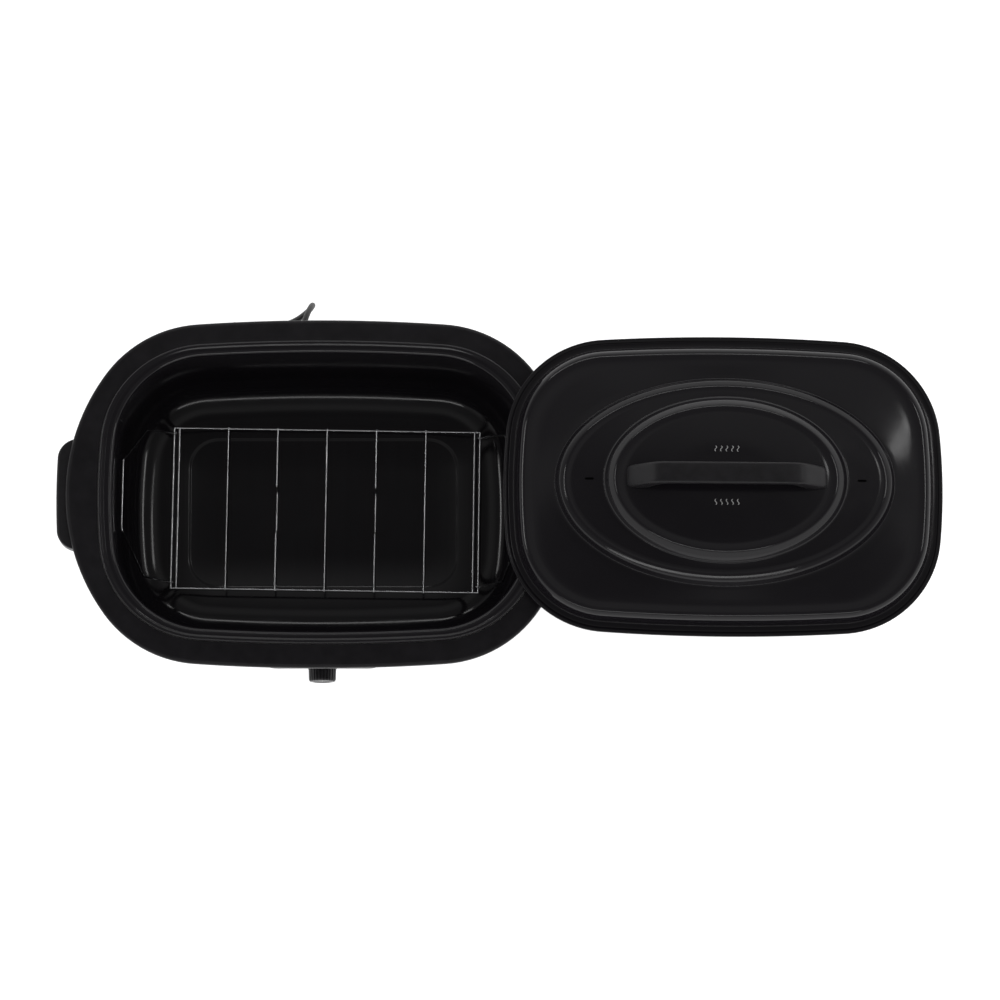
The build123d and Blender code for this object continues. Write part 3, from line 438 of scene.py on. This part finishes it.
wall_section = [
    (12.3, 40.0, 42.5, 0.0), (12.3, 22.0, 24.5, 3.0), (24.0, 20.9, 23.8, 3.0), (190.0, 6.0, 14.0, 4.0),
    (201.6, 2.5, 2.5, 0.0),
]
wall = skin("body_wall", outline_rings(wall_section), at_body, thick=1.1)
dress(wall, "housing", "body_paint", "outer_shell")


SIDE_BOW = 0.9                    # radius of the handle's outer face
SIDE_END_ROUND = 0.022
SIDE_WALL = 0.0042
SIDE_EDGE = 0.0034                # rounding along its top edge
SIDE_HOLLOW_HALF = 0.0465
SIDE_STATIONS = 57
SIDE_ROOT = (6.2, 6.2)            # insets of the line that the handle stands on


def side_handle(name, node, sign):
    """A bowed handle bar whose hollow is open underneath."""
    low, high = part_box(node)
    middle_y = (low.y + high.y) / 2
    half_y = (high.y - low.y) / 2
    out = high.x if sign > 0 else low.x
    bottom, top = low.z, high.z
    shell_line = outline(*SIDE_ROOT)
    loops = []
    for i in range(SIDE_STATIONS):
        turn = -math.pi / 2 + math.pi * i / (SIDE_STATIONS - 1)
        y = half_y * math.sin(turn) * (1 - 0.0001)
        near = min(((abs(abs(py) * MM - abs(y)), abs(px)) for px, py in shell_line if abs(px) > 200),
                   key=lambda pair: pair[0])[1] * MM
        x_out = abs(out - BODY.x) - SIDE_BOW + math.sqrt(SIDE_BOW**2 - y * y)
        to_end = half_y - abs(y)
        if to_end < SIDE_END_ROUND:
            x_out -= SIDE_END_ROUND - math.sqrt(max(SIDE_END_ROUND**2 - (SIDE_END_ROUND - to_end)**2, 0.0))
        x_out = max(x_out, near + 0.002)
        x_in = near - 0.001
        deep = 1.0 if abs(y) < SIDE_HOLLOW_HALF else 0.0
        roof = bottom + (top - SIDE_WALL - bottom) * deep
        inner = max(x_out - SIDE_WALL, x_in + 0.0008)
        section = [(x_in, top), (x_out - SIDE_EDGE, top)]
        for k in range(1, 6):
            a = math.pi / 2 * k / 6
            section.append((x_out - SIDE_EDGE + SIDE_EDGE * math.sin(a),
                            top - SIDE_EDGE + SIDE_EDGE * math.cos(a)))
        section += [(x_out, top - SIDE_EDGE), (x_out, bottom + 0.002), (x_out - 0.001, bottom),
                    (inner, bottom), (inner, roof), (x_in, roof), (x_in, (roof + top) / 2)]
        loops.append([(BODY.x + sign * x, middle_y + y, z) for x, z in section])
    handle = grid_loft(name, loops, sharp=35.0)
    return dress(handle, "housing", "black_plastic", node)


side_handle("handle_left", "side_handle_left", -1)
side_handle("handle_right", "side_handle_right", 1)


def lathe(name, centre, profile, turns, ripple=None):
    """A turned piece about -Y: profile is (distance toward the front, radius, rippled share)."""
    loops = []
    for far, radius, share in profile:
        ring = []
        for i in range(turns):
            a = 2 * math.pi * i / turns
            r = radius - (ripple(a) * share if ripple else 0.0)
            ring.append((centre.x + r * math.cos(a), centre.y - far, centre.z + r * math.sin(a)))
        loops.append(ring)
    return grid_loft(name, loops, sharp=50.0)


KNOB_RIBS = 26
RIB_DEEP = 0.0011
knob_centre = Vector(((knob_low.x + knob_high.x) / 2, knob_high.y, (knob_low.z + knob_high.z) / 2))
knob_radius = (knob_high.x - knob_low.x) / 2
knob_deep = knob_high.y - knob_low.y


def rib(angle):
    """Depth of the scallops between the ribs."""
    return RIB_DEEP * max(0.0, math.cos(angle * KNOB_RIBS)) ** 0.8


knob_profile = [(0.0, knob_radius - 0.0006, 0), (0.0004, knob_radius, 0), (0.0026, knob_radius, 0),
                (0.003, knob_radius - 0.0004, 0), (0.0032, knob_radius - 0.0006, 1),
                (0.0050, knob_radius - 0.0008, 1), (knob_deep - 0.0030, knob_radius - 0.0012, 1),
                (knob_deep - 0.0012, knob_radius - 0.0016, 0.8),
                (knob_deep - 0.0003, knob_radius - 0.0026, 0.2),
                (knob_deep, knob_radius - 0.0040, 0), (knob_deep, knob_radius - 0.0060, 0),
                (knob_deep - 0.0008, knob_radius - 0.0072, 0), (knob_deep - 0.0008, 0.004, 0)]
knob = lathe("knob_cap", knob_centre, knob_profile, KNOB_RIBS * 12, rib)
dress(knob, "knob", "knob_plastic", "control_knob")

print_finish = print_white().material


def bar(name, centre, size, edge, body, slot, material=None, turn=None):
    """A small box with rounded edges."""
    bm = bmesh.new()
    bmesh.ops.create_cube(bm, size=1.0)
    bmesh.ops.scale(bm, vec=size, verts=bm.verts)
    bmesh.ops.bevel(bm, geom=list(bm.edges), offset=edge, segments=2, affect="EDGES")
    if turn:
        bmesh.ops.transform(bm, matrix=turn, verts=bm.verts)
    bmesh.ops.translate(bm, vec=centre, verts=bm.verts)
    return dress(new_object(name, bm), body, slot, material=material)


bar("knob_pointer", (knob_centre.x, knob_low.y + 0.0006, knob_centre.z + 0.0075),
    (0.0016, 0.001, 0.0085), 0.0003, "knob", "knob_plastic", print_finish)

panel_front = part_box("control_panel")[0].y
DIAL_TICKS = 11
DIAL_SPAN = 250                   # degrees, centred on the top
DIAL_GAP = 0.0045                 # from the knob's edge to the middle of a tick
for i in range(DIAL_TICKS):
    around = math.radians(-DIAL_SPAN / 2 + DIAL_SPAN * i / (DIAL_TICKS - 1))
    far = knob_radius + DIAL_GAP
    spot = (knob_centre.x + far * math.sin(around), panel_front + 0.00015,
            knob_centre.z + far * math.cos(around))
    long = 0.0048 if i % 5 == 0 else 0.003
    bar(f"dial_tick_{i:02d}", spot, (0.0008, 0.0003, long), 0.0001, "housing", "black_plastic",
        print_finish, Matrix.Rotation(around, 4, "Y"))


# ---------------------------------------------------------------- roasting pan

PAN_FILLET = 45.0
FILLET_STEPS = 12
pan_floor = 50.0
PAN_WALL = (58.5, 44.5)           # insets of the wall where the floor's fillet begins
pan_rings = outline_rings([
    (209.8, 40.5, 29.0, 0.0), (211.0, 39.5, 28.0, 0.8), (213.0, 39.35, 27.85, 0.8),
    (216.2, 39.5, 28.0, 1.2), (216.95, 41.5, 29.9, 1.2), (215.6, 43.9, 31.7, 0.9),
    (214.9, 45.6, 32.8, 0.9), (214.9, 51.2, 36.8, 1.6), (212.5, 54.7, 40.4, 2.4),
    (95.0, *PAN_WALL, 0.0),
], PAN_FORM)
for i in range(1, FILLET_STEPS + 1):
    angle = math.pi / 2 * (1 - i / FILLET_STEPS)
    inward = PAN_FILLET * (1 - math.sin(angle))
    height = pan_floor + PAN_FILLET * (1 - math.cos(angle))
    pan_rings.append((height, outline(PAN_WALL[0] + inward, PAN_WALL[1] + inward, PAN_FORM)))
PANEL_STEPS = [(50.0, 162.5, 91.5, 35.0), (49.7, 161.2, 90.2, 34.5), (48.8, 159.8, 88.8, 34.0),
               (48.5, 158.4, 87.4, 33.0), (48.5, 120.0, 50.0, 20.0), (48.6, 60.0, 20.0, 10.0)]
pan_rings += [(z, rounded_box(x, y, r)) for z, x, y, r in PANEL_STEPS]
pan = skin("pan_enamelled", pan_rings, at_body, cap=True, thick=-1.1, sharp=60.0)
dress(pan, "pan", "enamel", "roasting_pan")


# ---------------------------------------------------------------- lid

at_lid = Matrix.Translation(LID) @ Matrix.Rotation(LID_TURN, 4, "Z")

lid_rings = outline_rings([
    (0.6, 3.8, 3.8, 0.0), (0.1, 2.2, 2.2, 0.7), (0.6, 0.4, 0.4, 0.9), (2.6, 0.05, 0.05, 1.0),
    (4.8, 0.4, 0.4, 1.2), (5.15, 2.0, 2.0, 1.0), (4.4, 4.6, 4.6, 1.0), (3.6, 6.2, 6.2, 1.0),
    (3.6, 12.4, 12.9, 1.8), (14.0, 14.6, 15.4, 4.0), (21.0, 16.2, 17.4, 3.0), (25.0, 19.0, 20.6, 2.6),
    (27.4, 23.5, 25.0, 2.8), (29.2, 31.0, 32.0, 3.6), (30.2, 38.0, 38.5, 0.0),
], LID_FORM)
shoulder = lid_rings[-1]
oval_rings_up = oval_rings([
    (33.0, 199.0, 124.4, 0.0), (33.4, 196.4, 121.6, 0.9), (43.6, 192.1, 117.1, 3.0),
    (48.3, 184.5, 109.8, 3.6), (49.3, 178.0, 104.5, 2.0), (50.1, 141.2, 97.4, 1.0),
    (51.4, 139.5, 95.7, 1.0), (58.0, 135.5, 91.8, 3.0), (64.5, 128.5, 85.5, 4.0),
    (67.3, 118.0, 77.0, 5.0), (69.6, 60.0, 40.0, 14.0), (69.9, 8.0, 6.0, 0.0),
], shoulder[1])
lid_rings += between(shoulder, oval_rings_up[0], 6) + oval_rings_up
lid = skin("lid_enamelled", lid_rings, at_lid, cap=True, thick=1.1, sharp=60.0)
dress(lid, "lid", "enamel", "lid_shell")

# Two vent slots in the groove between the ovals, at the ends of the handle. The CAD lid is cut through
# there; here each is a near-black inlay on the surface, painted shade that stands for the dark inside of
# the open slot.
SLOT_X, SLOT_Z = 157.0, 50.6      # mm from the lid's middle, and over its edge
SLOT_HALF, SLOT_ROUND = 3.9, 1.1  # half of the straight part, and the radius of its ends
SLOT_POINTS = 24
# Near-black colour painted on as the shade inside the open slots
slot_painted_shade = moulded("slot_painted_shade", (0.001, 0.001, 0.001), 0.7, 0.8, 900.0, 0.0).material
for side, sign in (("left", -1), ("right", 1)):
    bm = bmesh.new()
    ring = []
    for k in range(SLOT_POINTS):
        a = 2 * math.pi * (k + 0.5) / SLOT_POINTS
        far = sign * SLOT_X + math.copysign(SLOT_HALF, math.cos(a)) + SLOT_ROUND * math.cos(a)
        ring.append(bm.verts.new(at_lid @ Vector((far * MM, SLOT_ROUND * math.sin(a) * MM, SLOT_Z * MM))))
    bm.faces.new(ring)
    inlay = new_object(f"vent_slot_shade_{side}", bm)
    dress(inlay, "lid", "enamel", material=slot_painted_shade)

# The handle: paired outer and inner points along its arch, in the lid's own millimetres
ARCH = [
    ((-115.0, 60.0), (-87.0, 60.0), 13.2), ((-115.2, 66.0), (-86.0, 66.0), 13.2),
    ((-114.8, 72.0), (-83.5, 72.0), 13.2), ((-108.6, 79.0), (-80.0, 79.0), 13.2),
    ((-94.4, 93.6), (-75.0, 88.0), 13.0), ((-87.2, 100.4), (-72.5, 90.4), 12.8),
    ((-78.0, 104.4), (-69.0, 91.2), 12.6), ((-58.0, 104.9), (-56.0, 91.4), 12.6),
    ((0.0, 104.9), (0.0, 91.4), 12.6),
]
ARCH += [((-outer[0], outer[1]), (-inner[0], inner[1]), wide)
         for outer, inner, wide in reversed(ARCH[:-1])]


GRIP_POINTS = 20
GRIP_SQUARE = 0.42                # how square the section is: 1 is an ellipse, 0 a rectangle


def grip_loop(outer, inner, wide):
    """A rounded section between an outer and an inner point of the handle."""
    loop = []
    for k in range(GRIP_POINTS):
        a = 2 * math.pi * (k + 0.5) / GRIP_POINTS
        across = math.copysign(abs(math.cos(a)) ** GRIP_SQUARE, math.cos(a)) * wide
        share = 0.5 + 0.5 * math.copysign(abs(math.sin(a)) ** GRIP_SQUARE, math.sin(a))
        x = inner[0] + (outer[0] - inner[0]) * share
        z = inner[1] + (outer[1] - inner[1]) * share
        loop.append((x * MM, across * MM, z * MM))
    return loop


grip = grid_loft("lid_grip", [grip_loop(*station) for station in ARCH], at_lid, sharp=80.0, subdivide=2)
dress(grip, "lid", "black_plastic", "lid_handle")

# Heat strokes printed on the lid, in two rows either side of the handle, in the lid's millimetres
STROKES = 5
STROKE_ROWS = ((33.0, -1), (-29.0, 1))        # middle of the row, and which way its waves turn
STROKE_PITCH, STROKE_LONG = 6.4, 6.5
STROKE_WAVE, STROKE_HALF = 1.0, 0.45          # sway to each side, and half of the line's width
STROKE_STEPS = 12
STROKE_Z = 70.02
for row, (middle_y, flip) in enumerate(STROKE_ROWS):
    for i in range(STROKES):
        bm = bmesh.new()
        x0 = (i - (STROKES - 1) / 2) * STROKE_PITCH
        edges = []
        for k in range(STROKE_STEPS + 1):
            t = k / STROKE_STEPS
            y = middle_y + (t - 0.5) * STROKE_LONG
            x = x0 + STROKE_WAVE * math.sin(2 * math.pi * t) * flip
            edges.append([bm.verts.new(at_lid @ Vector(((x + s * STROKE_HALF) * MM, y * MM, STROKE_Z * MM)))
                          for s in (-1, 1)])
        for low, high in zip(edges, edges[1:]):
            bm.faces.new((low[0], low[1], high[1], high[0]))
        stroke = new_object(f"heat_stroke_{row}_{i}", bm)
        cover = stroke.modifiers.new("fit", "SHRINKWRAP")
        cover.target = lid
        cover.wrap_method = "PROJECT"
        cover.use_project_z = True
        cover.use_negative_direction = True
        cover.use_positive_direction = True
        cover.offset = 0.00005
        dress(stroke, "lid", "enamel", material=print_finish)


# ---------------------------------------------------------------- cord

CORD = 0.007                      # diameter
CORD_POINTS = [(-0.23725, 0.204, 0.08), (-0.22975, 0.231, 0.08), (-0.22295, 0.2498, 0.0655),
               (-0.22035, 0.257, 0.042), (-0.22695, 0.2532, 0.0185), (-0.24425, 0.2432, 0.004),
               (-0.26725, 0.2366, 0.0045), (-0.29125, 0.236, 0.0045)]
TAIL_POINTS = [(-0.27325, 0.194, 0.011), (-0.25525, 0.1945, 0.009), (-0.23725, 0.197, 0.0075),
               (-0.22125, 0.2, 0.0075)]
hank_low, hank_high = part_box("cord_hank")
HANK = (hank_low + hank_high) / 2
HANK_HALF = (hank_high - hank_low) / 2
TURN_POINTS = 16
HANK_TURNS = 2
FAR_START = 0.06                  # share of a turn already past where the lead joins the far run
NEAR_END = 0.76                   # share of the last turn that is laid before the tail leaves
RISE_START, RISE_SPAN = 0.55, 0.42            # turns over which the cord climbs onto its first turn


def racetrack(share):
    """A point on one turn of the hank, anticlockwise: far run, left end, near run, right end."""
    long, wide = HANK_HALF.x - CORD / 2, HANK_HALF.y - CORD / 2
    run, around = 2 * (long - wide), math.pi * wide
    far = (share % 1.0) * 2 * (run + around)
    if far < run:
        return ((long - wide) - far, wide)
    far -= run
    if far < around:
        a = math.pi / 2 + far / wide
        return (-(long - wide) + wide * math.cos(a), wide * math.sin(a))
    far -= around
    if far < run:
        return (-(long - wide) + far, -wide)
    a = -math.pi / 2 + (far - run) / wide
    return ((long - wide) + wide * math.cos(a), wide * math.sin(a))


def hank_points():
    """The folded cord, its second turn lying on its first."""
    points = []
    low, high = hank_low.z + CORD / 2, hank_high.z - CORD / 2
    whole = HANK_TURNS - 1 + NEAR_END - FAR_START
    count = round(TURN_POINTS * whole)
    for i in range(1, count):
        share = FAR_START + whole * i / count
        x, y = racetrack(share)
        rise = min(max((share - RISE_START) / RISE_SPAN, 0.0), 1.0)
        points.append((HANK.x + x, HANK.y + y, low + (high - low) * rise))
    return points


def cord_curve(name, points):
    curve = bpy.data.curves.new(name, "CURVE")
    curve.dimensions = "3D"
    curve.bevel_depth = CORD / 2
    curve.bevel_resolution = 6
    curve.resolution_u = 10
    curve.use_fill_caps = True
    line = curve.splines.new("NURBS")
    line.points.add(len(points) - 1)
    for spot, place in zip(line.points, points):
        spot.co = (*place, 1.0)
    line.order_u = 3
    line.use_endpoint_u = True
    made = bpy.data.objects.new(name, curve)
    bpy.context.scene.collection.objects.link(made)
    return made


# ---------------------------------------------------------------- floor, light and camera

bpy.ops.mesh.primitive_plane_add(size=16.0, location=(0, 0, 0))
floor = bpy.context.object
floor.name = "floor"
floor_finish = Finish("floor_paper", (0.9, 0.9, 0.9), 0.9, Emission_Color=(1.0, 1.0, 1.0, 1.0),
                      Emission_Strength=0.75)
floor_finish.bump(floor_finish.noise(300.0, 3.0), 0.0001, 0.1)
floor.data.materials.append(floor_finish.material)

world = bpy.data.worlds.new("studio")
bpy.context.scene.world = world
world.use_nodes = True
sky = world.node_tree.nodes["Background"]
direction = world.node_tree.nodes.new("ShaderNodeTexCoord")
height = world.node_tree.nodes.new("ShaderNodeSeparateXYZ")
shade = world.node_tree.nodes.new("ShaderNodeValToRGB")
world.node_tree.links.new(direction.outputs["Generated"], height.inputs["Vector"])
world.node_tree.links.new(height.outputs["Z"], shade.inputs["Fac"])
world.node_tree.links.new(shade.outputs["Color"], sky.inputs["Color"])
# Brightness of the sky by the sine of the height angle: 0 is the horizon, 1 straight overhead
SKY = [(0.0, 1.0), (0.24, 1.0), (0.4, 0.4), (0.6, 0.16), (0.8, 0.2), (0.9, 0.34), (0.95, 0.34),
       (0.985, 0.13), (1.0, 0.09)]
ramp = shade.color_ramp
while len(ramp.elements) < len(SKY):
    ramp.elements.new(0.5)
for element, (place, level) in zip(ramp.elements, SKY):
    element.position = place
    element.color = (level, level, level, 1.0)
sky.inputs["Strength"].default_value = 1.5


def soft_box(name, place, aim, size, power):
    light = bpy.data.lights.new(name, "AREA")
    light.shape = "RECTANGLE"
    light.size, light.size_y = size
    light.energy = power
    made = bpy.data.objects.new(name, light)
    made.location = place
    made.rotation_euler = (Vector(aim) - Vector(place)).to_track_quat("-Z", "Y").to_euler()
    bpy.context.scene.collection.objects.link(made)


soft_box("soft_box_right", (2.6, 0.6, 2.0), (0.2, 0.0, 0.1), (1.6, 0.2), 9.0)
soft_box("soft_box_left", (-2.6, 0.4, 2.2), (-0.1, 0.0, 0.1), (1.6, 0.2), 9.0)
soft_box("soft_box_front", (-0.1, -2.6, 1.9), (-0.1, 0.0, 0.1), (3.0, 0.2), 12.0)
soft_box("soft_box_back", (-0.1, 2.6, 1.9), (-0.1, 0.0, 0.1), (3.0, 0.2), 12.0)
soft_box("soft_box_high", (1.44, 0.75, 3.57), (0.47, 0.05, 0.25), (0.3, 0.4), 2.6)

TILT = math.radians(9.0)
DISTANCE = 5.0
aim = Vector((BODY.x + 0.116, BODY.y - 0.0103, pan_high.z - 0.002))
camera_data = bpy.data.cameras.new("camera")
camera_data.lens = 154.8
camera_data.sensor_width = 36.0
camera_data.shift_x = 0.08
camera = bpy.data.objects.new("camera", camera_data)
camera.location = aim + DISTANCE * Vector((0.0, -math.sin(TILT), math.cos(TILT)))
camera.rotation_euler = (TILT, 0.0, 0.0)
bpy.context.scene.collection.objects.link(camera)
bpy.context.scene.camera = camera

bpy.context.scene.view_settings.view_transform = "Standard"

# The cord: out of the relief, down behind the body, folded into the hank, and on to its plug
cord = cord_curve("cord_lead", CORD_POINTS + hank_points() + TAIL_POINTS)
dress(cord, "housing", "cord_black", "power_cord", "cord_hank", "cord_tail")
